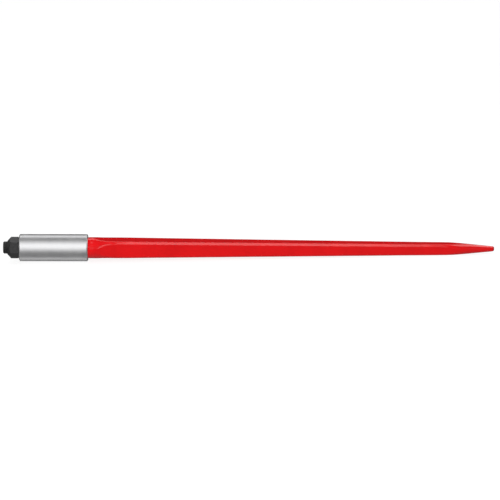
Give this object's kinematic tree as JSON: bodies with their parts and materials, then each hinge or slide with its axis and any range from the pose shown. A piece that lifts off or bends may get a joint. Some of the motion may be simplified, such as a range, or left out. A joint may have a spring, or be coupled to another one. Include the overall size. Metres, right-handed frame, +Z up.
{
  "type": "bale spear",
  "caption": "Square tapering steel tine with a blunt point, held by its tapered shank in a round weld-in sleeve and drawn home by a hexagon lock nut.",
  "frame": {"origin": "on the spear's axis, at the middle of the weld-in sleeve", "axes": "+X along the spear towards its point, +Z up, with the blade's flats facing up, down and to the sides"},
  "size_m": [1.0919, 0.0602, 0.0603],
  "materials": {
    "red_paint": "gloss",
    "bare_steel": "satin",
    "black_steel": "satin"
  },
  "bodies": {
    "root": {"spear": "red_paint", "weld_sleeve": "bare_steel", "lock_nut": "black_steel"}
  },
  "joints": []
}
